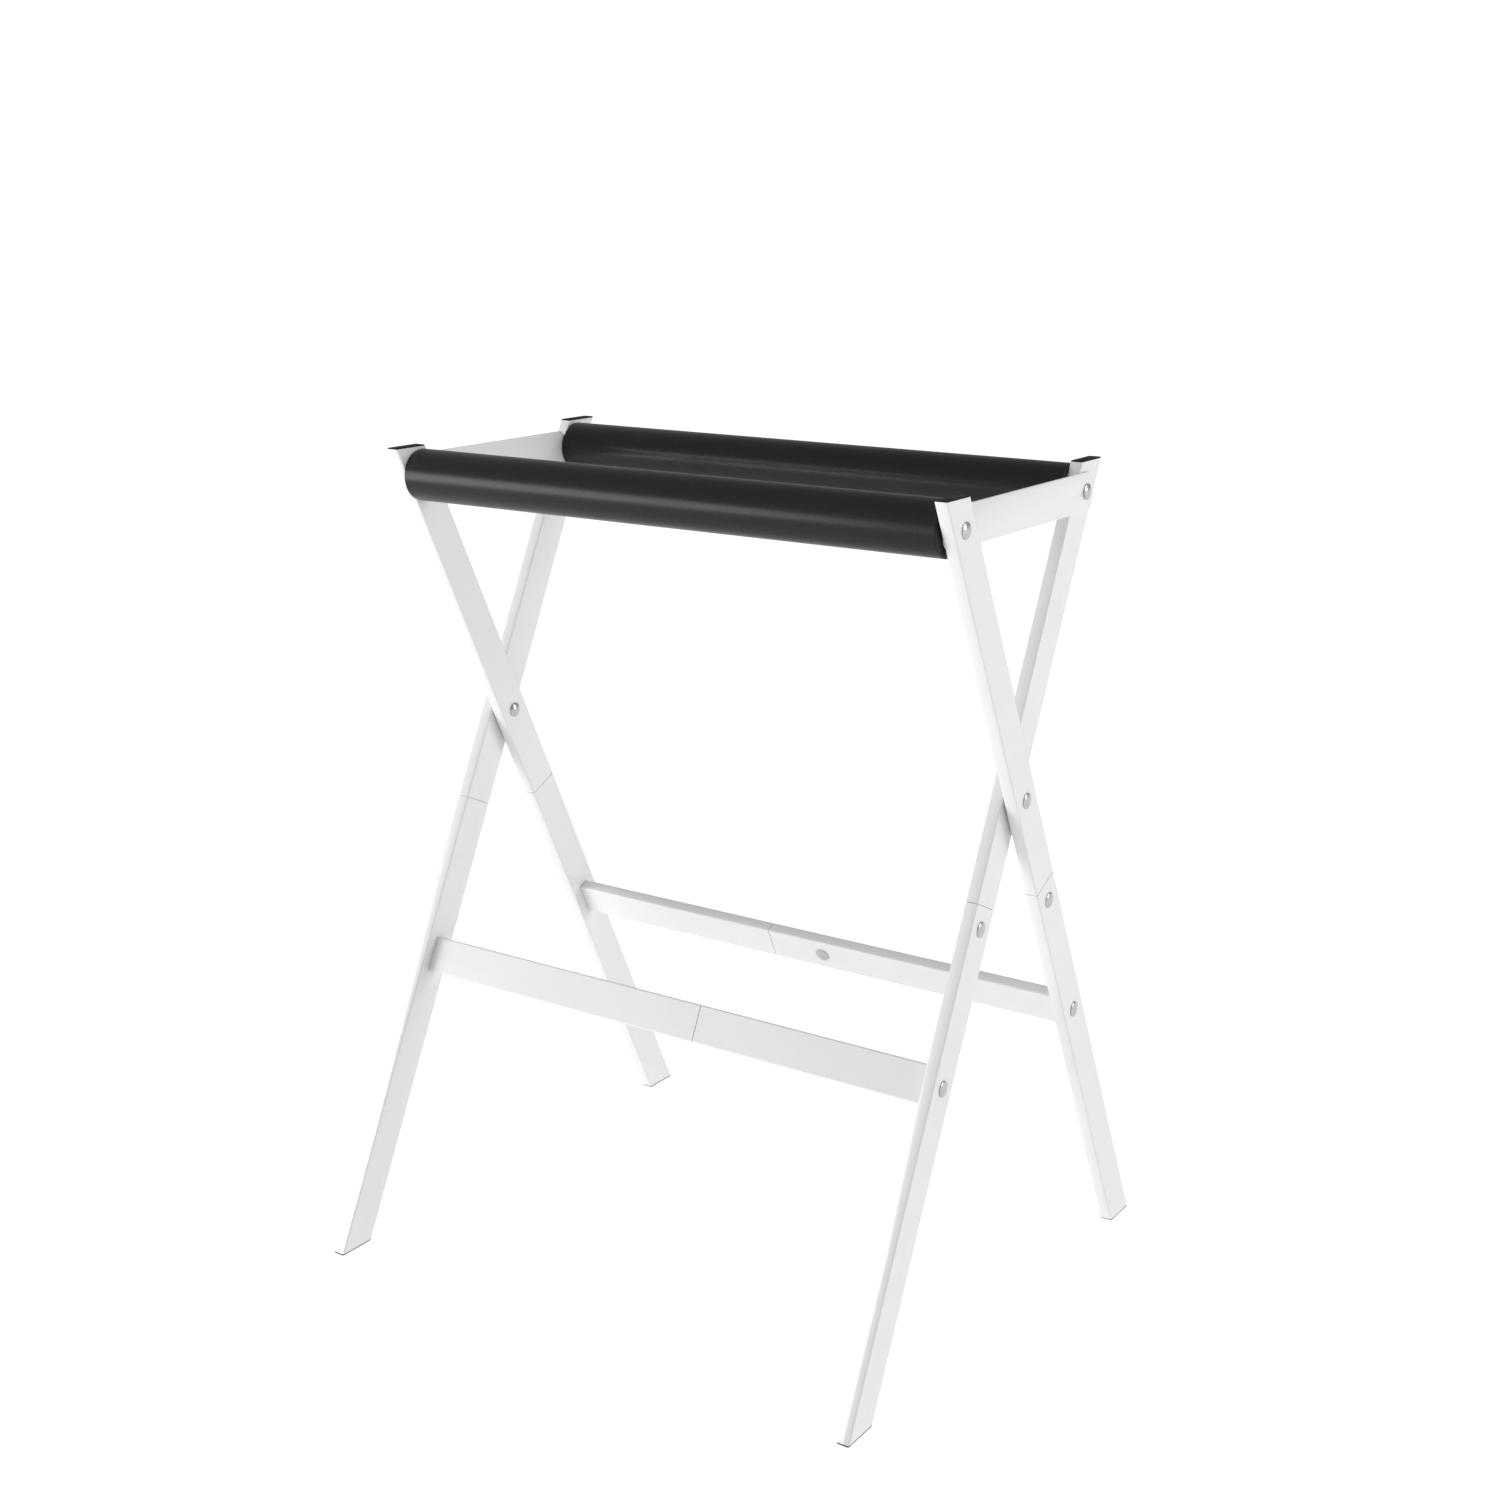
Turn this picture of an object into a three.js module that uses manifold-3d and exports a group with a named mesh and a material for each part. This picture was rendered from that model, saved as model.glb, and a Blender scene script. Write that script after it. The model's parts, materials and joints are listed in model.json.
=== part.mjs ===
// Folding X-leg stand with two foam-covered rails. Two identical frames cross on each side and turn on
// one pivot bolt per side. Frame A has the front rail and the rear feet, frame B is the same frame turned
// half a turn about the vertical axis. Millimetres, +Z up, X along the rails, -Y the front.
import * as THREE from "three";
import { mergeVertices } from "three/addons/utils/BufferGeometryUtils.js";
import Module from "manifold-3d";

const wasm = await Module();
wasm.setup();

// Envelope of the open stand.
const HEIGHT = 980;
const LENGTH = 760;
const FOOT_DEPTH = 660;
const TOP_DEPTH = 394;

// Flat-sided steel tube of the legs and stretchers.
const TUBE_WIDTH = 44;
const TUBE_THICKNESS = 15;
const TUBE_CORNER = 1.5;
const TUBE_WALL = 1.2;

// The slot between the two crossing legs of one side, which holds the end bar.
const LEG_GAP = 3.2;

// Legs: the seam and its bolt are measured along the leg.
const LEG_SEAM_BELOW_CROSSING = 123;
const LEG_BOLT_BELOW_SEAM = 25;
const LEG_SLEEVE_REACH = 45;
const SLEEVE_WALL = 1.8;
const SEAM_GAP = 0.8;

// Caps.
const TOP_CAP_PLATE = 1;
const FOOT_CAP_PLATE = 1;
const CAP_PLUG_DEPTH = 12;

// Rails: the height of the centre line below the tops of the legs, and the cross-section.
const RAIL_BELOW_TOP = 34.5;
const FOAM_DIAMETER = 61;
const FOAM_END_ROUND = 1;
const RAIL_TUBE_DIAMETER = 28;
const RAIL_TUBE_WALL = 1.5;
const RAIL_THREADED_END = 14;
const RAIL_BOLT_GRIP = 12;

// Stretchers: their height, and the seam and the sleeve bolt along X from the middle of frame A.
const STRETCHER_HEIGHT = 335;
const STRETCHER_SEAM_X = -41;
const STRETCHER_SLEEVE_BOLT_X = 35;
const STRETCHER_SLEEVE_REACH = 24;
const STRETCHER_NUT_LENGTH = 30;

// Bolts, nuts and the crossing pivot.
const HEAD_DIAMETER = 18;
const HEAD_HEIGHT = 2.6;
const HEAD_RIM = 0.8;
const NUT_CROWN = 1.6;
const BOLT_DIAMETER = 8;
const BOLT_TIP_CHAMFER = 1;
const PIVOT_DIAMETER = 10;
const PIVOT_WASHER_DIAMETER = 22;
const PIVOT_NUT_HEIGHT = 4;
const RING_ROUND = 0.4;

// End bars and the bushes that they hook on.
const BAR_WIDTH = 44;
const BAR_END_ROUND = 16;
const HOOK_BUSH_DIAMETER = 14;
const HOOK_CLEARANCE = 0.6;
const HOOK_LIP = 9;
const HOOK_FLARE = THREE.MathUtils.degToRad(14);

// Gaps: between pieces that fit into or rest on each other, and between the rails when folded.
const FIT = 0.3;
const FOLDED_RAIL_GAP = 4;

// Facets of a quarter round of the tube, of the arcs of the end bar and of a head from rim to crown, and
// of a full turn of a small and of a large round piece.
const CORNER_STEPS = 2;
const BAR_STEPS = 10;
const DOME_STEPS = 3;
const SMALL_ROUND = 16;
const LARGE_ROUND = 40;

// Frame geometry. A leg leans so that its outer corners reach the foot depth and the top depth.
const HALF_LENGTH = LENGTH / 2;
const REACH = (FOOT_DEPTH + TOP_DEPTH) / 2;
const LEAN = Math.acos(TUBE_WIDTH / Math.hypot(REACH, HEIGHT)) - Math.atan2(HEIGHT, REACH);
const SLOPE = Math.tan(LEAN);
const CROSSING_Z = (FOOT_DEPTH - TUBE_WIDTH / Math.cos(LEAN)) / 2 / SLOPE;
const TOP_ALONG = (HEIGHT - CROSSING_Z) / Math.cos(LEAN);
const FOOT_ALONG = -CROSSING_Z / Math.cos(LEAN);
const RAIL_ALONG = (HEIGHT - RAIL_BELOW_TOP - CROSSING_Z) / Math.cos(LEAN);
const STRETCHER_ALONG = (STRETCHER_HEIGHT - CROSSING_Z) / Math.cos(LEAN);
const SEAM_ALONG = -LEG_SEAM_BELOW_CROSSING;
const LEG_BOLT_ALONG = SEAM_ALONG - LEG_BOLT_BELOW_SEAM;

// Faces across the stand, on frame A: its right leg is the outer one, its left leg the inner one.
const RIGHT_INNER_FACE = HALF_LENGTH - TUBE_THICKNESS;
const LEFT_OUTER_FACE = -(HALF_LENGTH - TUBE_THICKNESS - LEG_GAP);
const LEFT_INNER_FACE = LEFT_OUTER_FACE + TUBE_THICKNESS;
const RIGHT_LEG_X = HALF_LENGTH - TUBE_THICKNESS / 2;
const LEFT_LEG_X = LEFT_OUTER_FACE + TUBE_THICKNESS / 2;
const RAIL_LEFT_END = LEFT_INNER_FACE + FIT;
const RAIL_RIGHT_END = -LEFT_OUTER_FACE - FIT;

// The length of a bolt that holds a tube to the sleeve inside it.
const SLEEVE_GRIP = TUBE_WALL + SLEEVE_WALL + BOLT_TIP_CHAMFER + 3 * FIT;

// The end bar swings down along its own leg while the stand folds until the rails nearly meet.
const FOLDED_SPREAD = 2 * Math.asin((FOAM_DIAMETER + FOLDED_RAIL_GAP) / (2 * RAIL_ALONG));
const FOLD = 2 * LEAN - FOLDED_SPREAD;
const BAR_SWING = Math.PI / 2 - LEAN;
const BAR_REACH = 2 * RAIL_ALONG * Math.sin(LEAN);

const FINISHES = {
  whitePaint: { color: 0xf2f2f2, roughness: 0.35, metalness: 0 },
  blackFoam: { color: 0x232323, roughness: 0.6, metalness: 0 },
  blackPlastic: { color: 0x161616, roughness: 0.5, metalness: 0 },
  greyPlastic: { color: 0x8d8f92, roughness: 0.55, metalness: 0 },
  zincSteel: { color: 0xc4c6c8, roughness: 0.25, metalness: 1 },
};

function mesh(name, geometry, finish) {
  const made = new THREE.Mesh(geometry, new THREE.MeshStandardMaterial(FINISHES[finish]));
  made.name = name;
  return made;
}

// A closed geometry as a solid, and a solid as a geometry.
function toSolid(geometry) {
  const bare = geometry.clone();
  bare.deleteAttribute("normal");
  bare.deleteAttribute("uv");
  const merged = mergeVertices(bare, 1e-4);
  const vertProperties = merged.attributes.position.array;
  const triVerts = new Uint32Array(merged.index.array);
  return new wasm.Manifold(new wasm.Mesh({ numProp: 3, vertProperties, triVerts }));
}

function fromSolid(solid) {
  const { vertProperties, triVerts } = solid.getMesh();
  const geometry = new THREE.BufferGeometry();
  geometry.setAttribute("position", new THREE.BufferAttribute(vertProperties, 3));
  geometry.setIndex(new THREE.BufferAttribute(triVerts, 1));
  geometry.computeVertexNormals();
  return geometry;
}

function cut(geometry, tools) {
  return fromSolid(tools.reduce((left, tool) => left.subtract(toSolid(tool)), toSolid(geometry)));
}

function join(first, second) {
  return fromSolid(toSolid(first).add(toSolid(second)));
}

// A rectangle with round corners, width along y and thickness along x.
function roundedOutline(path, width, thickness, corner) {
  const x = thickness / 2 - corner;
  const y = width / 2 - corner;
  path.absarc(x, y, corner, 0, Math.PI / 2);
  path.absarc(-x, y, corner, Math.PI / 2, Math.PI);
  path.absarc(-x, -y, corner, Math.PI, Math.PI * 1.5);
  path.absarc(x, -y, corner, Math.PI * 1.5, Math.PI * 2);
  path.closePath();
  return path;
}

// The outline of the tube moved inwards by inset.
function solidSection(inset) {
  const corner = Math.max(TUBE_CORNER - inset, TUBE_CORNER / 8);
  return roundedOutline(new THREE.Shape(), TUBE_WIDTH - 2 * inset, TUBE_THICKNESS - 2 * inset, corner);
}

function tubeSection(inset, wall) {
  const section = solidSection(inset);
  section.holes.push(solidSection(inset + wall));
  return section;
}

// A section drawn along z between two ends, each a height that may change with y.
function prism(section, lowEnd, highEnd) {
  const settings = { depth: 1, bevelEnabled: false, curveSegments: CORNER_STEPS };
  const geometry = new THREE.ExtrudeGeometry(section, settings);
  const place = geometry.attributes.position;
  for (let i = 0; i < place.count; i += 1) {
    const end = place.getZ(i) > 0.5 ? highEnd : lowEnd;
    place.setZ(i, end(place.getY(i)));
  }
  return geometry;
}

const square = (along) => () => along;
const level = (along) => (y) => along - y * SLOPE;

// Turns what was drawn along z to lie along x, with the section's x along y and its y along z.
function laidAlongX(geometry) {
  const basis = new THREE.Matrix4().makeBasis(
    new THREE.Vector3(0, 1, 0),
    new THREE.Vector3(0, 0, 1),
    new THREE.Vector3(1, 0, 0),
  );
  return geometry.applyMatrix4(basis);
}

// A round tool along x from one x to another, at a height z.
function holeAlongX(diameter, fromX, toX, z = 0) {
  const hole = new THREE.CylinderGeometry(diameter / 2, diameter / 2, toX - fromX, SMALL_ROUND);
  return hole.rotateZ(Math.PI / 2).translate((fromX + toX) / 2, 0, z);
}

function legHole(diameter, along) {
  return holeAlongX(diameter + 2 * FIT, -TUBE_THICKNESS, TUBE_THICKNESS, along);
}

// A hole through the wall on the outer side only, side being 1 or -1 along x.
function legOuterHole(diameter, along, side) {
  const ends = [0, side * TUBE_THICKNESS].sort((a, b) => a - b);
  return holeAlongX(diameter + 2 * FIT, ends[0], ends[1], along);
}

function upperLeg() {
  const seam = square(SEAM_ALONG + SEAM_GAP / 2);
  const top = level(TOP_ALONG - (TOP_CAP_PLATE + FIT) / Math.cos(LEAN));
  const tube = prism(tubeSection(0, TUBE_WALL), seam, top);
  return cut(tube, [legHole(PIVOT_DIAMETER, 0), legHole(BOLT_DIAMETER, RAIL_ALONG)]);
}

function lowerLeg(side) {
  const foot = level(FOOT_ALONG + (FOOT_CAP_PLATE + FIT) / Math.cos(LEAN));
  const seam = square(SEAM_ALONG - SEAM_GAP / 2);
  const tube = prism(tubeSection(0, TUBE_WALL), foot, seam);
  const holes = [legOuterHole(BOLT_DIAMETER, LEG_BOLT_ALONG, side), legHole(BOLT_DIAMETER, STRETCHER_ALONG)];
  return cut(tube, holes);
}

function legSleeve(side) {
  const section = tubeSection(TUBE_WALL + FIT, SLEEVE_WALL);
  const low = square(SEAM_ALONG - LEG_SLEEVE_REACH);
  const high = square(SEAM_ALONG + LEG_SLEEVE_REACH);
  return cut(prism(section, low, high), [legOuterHole(BOLT_DIAMETER, LEG_BOLT_ALONG, side)]);
}

// A cap's plate covers the tube's end, and its plug goes into the tube; into is -1 downwards, 1 upwards.
function cap(endAlong, plate, into) {
  const tilt = Math.cos(LEAN);
  const seat = endAlong + (into * plate) / tilt;
  const plugEnd = seat + into * CAP_PLUG_DEPTH;
  const order = (a, b) => (into > 0 ? [a, b] : [b, a]);
  const middle = (endAlong + seat) / 2;
  const cover = prism(solidSection(0), ...order(level(endAlong), level(seat)));
  const plug = prism(solidSection(TUBE_WALL + FIT), ...order(level(middle), level(plugEnd)));
  return join(cover, plug);
}

// A domed head above y = 0 on a plain shank below it.
function domedBolt(shankDiameter, shankLength) {
  const shank = shankDiameter / 2;
  const profile = [
    new THREE.Vector2(0, -shankLength),
    new THREE.Vector2(shank - BOLT_TIP_CHAMFER, -shankLength),
    new THREE.Vector2(shank, -shankLength + BOLT_TIP_CHAMFER),
    new THREE.Vector2(shank, 0),
    new THREE.Vector2(HEAD_DIAMETER / 2, 0),
    ...dome(HEAD_DIAMETER / 2, HEAD_RIM, HEAD_HEIGHT),
  ];
  return new THREE.LatheGeometry(profile, SMALL_ROUND);
}

// The upper side of a head: an arc from its rim to its crown.
function dome(radius, rim, height) {
  const rise = height - rim;
  const sphere = (radius * radius + rise * rise) / (2 * rise);
  const half = Math.asin(radius / sphere);
  return Array.from({ length: DOME_STEPS + 1 }, (_, i) => {
    const angle = half * (1 - i / DOME_STEPS);
    return new THREE.Vector2(sphere * Math.sin(angle), height - sphere * (1 - Math.cos(angle)));
  });
}

// The domed nut sits on the pivot bolt's end, with its bore open below y = 0.
function capNut() {
  const bore = PIVOT_DIAMETER / 2 + FIT;
  const profile = [
    new THREE.Vector2(0, PIVOT_NUT_HEIGHT - NUT_CROWN),
    new THREE.Vector2(bore, PIVOT_NUT_HEIGHT - NUT_CROWN),
    new THREE.Vector2(bore, 0),
    new THREE.Vector2(HEAD_DIAMETER / 2, 0),
    ...dome(HEAD_DIAMETER / 2, HEAD_RIM, PIVOT_NUT_HEIGHT),
  ];
  return new THREE.LatheGeometry(profile, SMALL_ROUND);
}

// A ring about y with round outer edges.
function ring(outerDiameter, boreDiameter, lowY, highY, round, steps) {
  const outer = outerDiameter / 2;
  const bore = boreDiameter / 2 + FIT;
  const sagitta = round * (1 - Math.SQRT1_2);
  const profile = [
    new THREE.Vector2(bore, highY),
    new THREE.Vector2(bore, lowY),
    new THREE.Vector2(outer - round, lowY),
    new THREE.Vector2(outer - sagitta, lowY + sagitta),
    new THREE.Vector2(outer, lowY + round),
    new THREE.Vector2(outer, highY - round),
    new THREE.Vector2(outer - sagitta, highY - sagitta),
    new THREE.Vector2(outer - round, highY),
    new THREE.Vector2(bore, highY),
  ];
  return new THREE.LatheGeometry(profile, steps);
}

// The rail tube has a thick threaded wall at each end, open to its hollow middle.
function railTube() {
  const outer = RAIL_TUBE_DIAMETER / 2;
  const inner = outer - RAIL_TUBE_WALL;
  const bore = BOLT_DIAMETER / 2 + FIT;
  const profile = [
    new THREE.Vector2(bore, RAIL_LEFT_END + RAIL_THREADED_END),
    new THREE.Vector2(bore, RAIL_LEFT_END),
    new THREE.Vector2(outer, RAIL_LEFT_END),
    new THREE.Vector2(outer, RAIL_RIGHT_END),
    new THREE.Vector2(bore, RAIL_RIGHT_END),
    new THREE.Vector2(bore, RAIL_RIGHT_END - RAIL_THREADED_END),
    new THREE.Vector2(inner, RAIL_RIGHT_END - RAIL_THREADED_END),
    new THREE.Vector2(inner, RAIL_LEFT_END + RAIL_THREADED_END),
    new THREE.Vector2(bore, RAIL_LEFT_END + RAIL_THREADED_END),
  ];
  return new THREE.LatheGeometry(profile, SMALL_ROUND);
}

// A stretcher piece between two x, with a hole for the sleeve bolt where it has one.
function stretcherPiece(fromX, toX, holeX) {
  const piece = laidAlongX(prism(tubeSection(0, TUBE_WALL), square(fromX), square(toX)));
  return holeX === undefined ? piece : cut(piece, [sleeveBoltHole(holeX)]);
}

function sleeveBoltHole(x) {
  const radius = BOLT_DIAMETER / 2 + FIT;
  const hole = new THREE.CylinderGeometry(radius, radius, TUBE_THICKNESS, SMALL_ROUND);
  return hole.translate(x, -TUBE_THICKNESS / 2, 0);
}

function stretcherSleeve() {
  const section = tubeSection(TUBE_WALL + FIT, SLEEVE_WALL);
  const from = Math.min(STRETCHER_SEAM_X, STRETCHER_SLEEVE_BOLT_X) - STRETCHER_SLEEVE_REACH;
  const to = Math.max(STRETCHER_SEAM_X, STRETCHER_SLEEVE_BOLT_X) + STRETCHER_SLEEVE_REACH;
  const tube = laidAlongX(prism(section, square(from), square(to)));
  return cut(tube, [sleeveBoltHole(STRETCHER_SLEEVE_BOLT_X)]);
}

function stretcherNut(fromX, toX) {
  const block = laidAlongX(prism(solidSection(TUBE_WALL + FIT), square(fromX), square(toX)));
  return cut(block, [holeAlongX(BOLT_DIAMETER + 2 * FIT, fromX - 1, toX + 1)]);
}

// The bar's hook: a round seat on the bush with a mouth that follows the bush as the stand folds.
function hookMouth() {
  const seat = HOOK_BUSH_DIAMETER / 2 + HOOK_CLEARANCE;
  const ratio = BAR_SWING / FOLD;
  const away = Math.PI - Math.atan(SLOPE * (1 + 2 * ratio));
  const length = BAR_WIDTH * 1.5;
  const mouth = new THREE.Shape();
  // A line from where the seat ends on one side of the mouth, towards the bar's edge and past it.
  const lineOut = (side, angle) => {
    const x = BAR_REACH + seat * Math.cos(away + side * Math.PI / 2);
    const y = seat * Math.sin(away + side * Math.PI / 2);
    mouth.lineTo(x + length * Math.cos(angle), y + length * Math.sin(angle));
  };
  mouth.absarc(BAR_REACH, 0, seat, away + Math.PI / 2, away - Math.PI / 2);
  lineOut(-1, away);
  lineOut(1, away + HOOK_FLARE);
  mouth.closePath();
  return mouth;
}

// The bar's outline from its pivot at the origin towards +x, with the same large rounds at both ends.
function barOutline() {
  const inset = BAR_WIDTH / 2 - BAR_END_ROUND;
  const hookEnd = BAR_REACH + HOOK_BUSH_DIAMETER / 2 + HOOK_CLEARANCE + HOOK_LIP;
  const outline = new THREE.Shape();
  outline.absarc(0, inset, BAR_END_ROUND, Math.PI / 2, Math.PI);
  outline.absarc(0, -inset, BAR_END_ROUND, Math.PI, Math.PI * 1.5);
  outline.absarc(hookEnd - BAR_END_ROUND, -inset, BAR_END_ROUND, -Math.PI / 2, 0);
  outline.absarc(hookEnd - BAR_END_ROUND, inset, BAR_END_ROUND, 0, Math.PI / 2);
  outline.closePath();
  return outline;
}

function endBar() {
  const low = -RIGHT_INNER_FACE + FIT;
  const high = LEFT_OUTER_FACE - FIT;
  const drawn = (outline, from, to) => {
    const settings = { depth: to - from, bevelEnabled: false, curveSegments: BAR_STEPS };
    return new THREE.ExtrudeGeometry(outline, settings).translate(0, 0, from);
  };
  const plate = drawn(barOutline(), low, high);
  const mouth = drawn(hookMouth(), low - LEG_GAP, high + LEG_GAP);
  const pivotHole = holeAlongX(BOLT_DIAMETER + 2 * FIT, low - LEG_GAP, high + LEG_GAP);
  return cut(laidAlongX(plate), [laidAlongX(mouth), pivotHole]);
}

// Places a lathed piece with its crown towards +x (side 1) or -x (side -1), its y = 0 at x.
function facing(piece, side, x, along) {
  piece.rotation.z = (-side * Math.PI) / 2;
  piece.position.set(x, 0, along);
  return piece;
}

function leg(letter, sideName, x, side) {
  const group = new THREE.Group();
  const named = (what) => letter + "_" + what + "_" + sideName;
  group.add(
    mesh(named("upper_leg"), upperLeg(), "whitePaint"),
    mesh(named("lower_leg"), lowerLeg(side), "whitePaint"),
    mesh(named("leg_sleeve"), legSleeve(side), "zincSteel"),
    mesh(named("top_cap"), cap(TOP_ALONG, TOP_CAP_PLATE, -1), "blackPlastic"),
    mesh(named("foot_cap"), cap(FOOT_ALONG, FOOT_CAP_PLATE, 1), "greyPlastic"),
  );
  group.position.x = x;
  return group;
}

// The bolts of one leg: side is the way its outer face looks, faceX where that face is, railHeadX where
// the head of the rail bolt rests.
function legBolts(letter, sideName, side, faceX, railHeadX, railEndX) {
  const stretcherGrip = TUBE_THICKNESS + STRETCHER_NUT_LENGTH / 2;
  const railGrip = Math.abs(railHeadX - railEndX) + RAIL_BOLT_GRIP;
  const bolt = (what, shankLength, x, along) => {
    const name = letter + "_" + what + "_" + sideName;
    const made = mesh(name, domedBolt(BOLT_DIAMETER, shankLength), "zincSteel");
    return facing(made, side, x + side * FIT, along);
  };
  return [
    bolt("leg_bolt", SLEEVE_GRIP, faceX, LEG_BOLT_ALONG),
    bolt("stretcher_bolt", stretcherGrip, faceX, STRETCHER_ALONG),
    bolt("rail_bolt", railGrip, railHeadX, RAIL_ALONG),
  ];
}

function rail(letter) {
  const group = new THREE.Group();
  const ends = [RAIL_LEFT_END, RAIL_RIGHT_END];
  const foam = ring(FOAM_DIAMETER, RAIL_TUBE_DIAMETER, ...ends, FOAM_END_ROUND, LARGE_ROUND);
  const pieces = [
    mesh(letter + "_rail_tube", railTube(), "zincSteel"),
    mesh(letter + "_rail_foam", foam, "blackFoam"),
  ];
  pieces.forEach((piece) => group.add(facing(piece, 1, 0, RAIL_ALONG)));
  return group;
}

function stretcher(letter, sides) {
  const left = LEFT_INNER_FACE + FIT;
  const right = RIGHT_INNER_FACE - FIT;
  const group = new THREE.Group();
  const shortPiece = stretcherPiece(left, STRETCHER_SEAM_X - SEAM_GAP / 2);
  const longPiece = stretcherPiece(STRETCHER_SEAM_X + SEAM_GAP / 2, right, STRETCHER_SLEEVE_BOLT_X);
  const leftNut = stretcherNut(left, left + STRETCHER_NUT_LENGTH);
  const rightNut = stretcherNut(right - STRETCHER_NUT_LENGTH, right);
  const bolt = domedBolt(BOLT_DIAMETER, SLEEVE_GRIP);
  const sleeveBolt = mesh(letter + "_sleeve_bolt", bolt, "zincSteel");
  sleeveBolt.rotation.x = Math.PI;
  sleeveBolt.position.set(STRETCHER_SLEEVE_BOLT_X, -TUBE_THICKNESS / 2 - FIT, 0);
  group.add(
    mesh(letter + "_stretcher_short", shortPiece, "whitePaint"),
    mesh(letter + "_stretcher_long", longPiece, "whitePaint"),
    mesh(letter + "_stretcher_sleeve", stretcherSleeve(), "zincSteel"),
    mesh(letter + "_stretcher_nut_" + sides.left, leftNut, "zincSteel"),
    mesh(letter + "_stretcher_nut_" + sides.right, rightNut, "zincSteel"),
    sleeveBolt,
  );
  group.position.z = STRETCHER_ALONG;
  return group;
}

// The crossing pivot on the frame's outer leg: bolt from outside, washer in the slot, nut inside.
function pivot(sideName) {
  const nutSeat = -LEFT_INNER_FACE - FIT;
  const shank = HALF_LENGTH + FIT - nutSeat + PIVOT_NUT_HEIGHT - NUT_CROWN - FIT;
  const washerEnds = [FIT, LEG_GAP - FIT];
  const washer = ring(PIVOT_WASHER_DIAMETER, PIVOT_DIAMETER, ...washerEnds, RING_ROUND, SMALL_ROUND);
  const bolt = mesh("pivot_bolt_" + sideName, domedBolt(PIVOT_DIAMETER, shank), "zincSteel");
  const group = new THREE.Group();
  group.add(
    facing(bolt, 1, HALF_LENGTH + FIT, 0),
    facing(mesh("pivot_cap_nut_" + sideName, capNut(), "zincSteel"), -1, nutSeat, 0),
    facing(mesh("pivot_washer_" + sideName, washer, "zincSteel"), 1, -LEFT_OUTER_FACE, 0),
  );
  return group;
}

function hookBush(sideName) {
  const ends = [FIT, LEG_GAP - FIT];
  const bush = ring(HOOK_BUSH_DIAMETER, BOLT_DIAMETER, ...ends, RING_ROUND, SMALL_ROUND);
  return facing(mesh("hook_bush_" + sideName, bush, "zincSteel"), 1, -LEFT_OUTER_FACE, RAIL_ALONG);
}

// One frame with its end bar, as frame A stands: rail in front, feet behind, outer leg at +x.
function frame(letter, sides) {
  const leaning = new THREE.Group();
  leaning.add(
    leg(letter, sides.right, RIGHT_LEG_X, 1),
    leg(letter, sides.left, LEFT_LEG_X, -1),
    rail(letter),
    stretcher(letter, sides),
    pivot(sides.right),
    hookBush(sides.right),
    ...legBolts(letter, sides.right, 1, HALF_LENGTH, HALF_LENGTH, RAIL_RIGHT_END),
    ...legBolts(letter, sides.left, -1, LEFT_OUTER_FACE, -RIGHT_INNER_FACE, RAIL_LEFT_END),
  );
  leaning.position.z = CROSSING_Z;
  leaning.rotation.x = LEAN;
  const bar = mesh("end_bar_" + sides.left, endBar(), "whitePaint");
  bar.position.set(0, -RAIL_ALONG * Math.sin(LEAN), CROSSING_Z + RAIL_ALONG * Math.cos(LEAN));
  const whole = new THREE.Group();
  whole.add(leaning, bar);
  return whole;
}

const stand = new THREE.Group();
const frameA = frame("a", { left: "left", right: "right" });
const frameB = frame("b", { left: "right", right: "left" });
frameB.rotation.z = Math.PI;
stand.add(frameA, frameB);

export default stand;
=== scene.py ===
"""Looks of a folding X-leg stand with two foam-covered rails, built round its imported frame.

Two equal frames of flat-sided white tube cross on each side and turn on one bolt per side. Frame B
is frame A turned half a turn about the vertical axis, so each piece is modelled once, in frame A's own
leaning axes, and set into both. Metres, +Z up, X along the rails, -Y the front.
"""

import json
import logging
import math
from collections.abc import Callable, Iterable, Sequence
from dataclasses import dataclass
from enum import Enum

import bpy
from mathutils import Matrix, Vector


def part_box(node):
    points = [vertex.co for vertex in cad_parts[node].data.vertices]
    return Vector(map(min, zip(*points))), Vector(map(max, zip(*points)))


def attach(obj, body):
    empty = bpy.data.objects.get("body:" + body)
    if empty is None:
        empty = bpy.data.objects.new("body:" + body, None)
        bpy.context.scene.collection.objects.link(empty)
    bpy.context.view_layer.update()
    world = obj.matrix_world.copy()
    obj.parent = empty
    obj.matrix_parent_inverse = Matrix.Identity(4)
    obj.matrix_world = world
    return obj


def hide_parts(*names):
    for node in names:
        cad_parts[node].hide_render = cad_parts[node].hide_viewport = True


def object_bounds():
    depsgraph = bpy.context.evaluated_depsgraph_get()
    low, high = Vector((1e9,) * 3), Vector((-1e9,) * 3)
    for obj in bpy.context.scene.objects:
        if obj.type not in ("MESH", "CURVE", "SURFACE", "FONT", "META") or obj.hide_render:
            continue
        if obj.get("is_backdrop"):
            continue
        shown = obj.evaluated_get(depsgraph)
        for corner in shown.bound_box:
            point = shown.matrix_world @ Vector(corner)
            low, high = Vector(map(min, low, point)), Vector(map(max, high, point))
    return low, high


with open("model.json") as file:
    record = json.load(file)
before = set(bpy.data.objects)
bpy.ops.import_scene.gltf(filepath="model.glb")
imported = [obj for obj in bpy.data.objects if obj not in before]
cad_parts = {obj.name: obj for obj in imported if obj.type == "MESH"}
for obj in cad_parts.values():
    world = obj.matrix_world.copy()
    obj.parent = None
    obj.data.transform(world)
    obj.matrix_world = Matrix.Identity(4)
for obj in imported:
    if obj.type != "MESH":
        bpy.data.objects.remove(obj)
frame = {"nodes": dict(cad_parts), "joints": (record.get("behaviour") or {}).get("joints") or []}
log = logging.getLogger("folding_stand")

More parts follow.
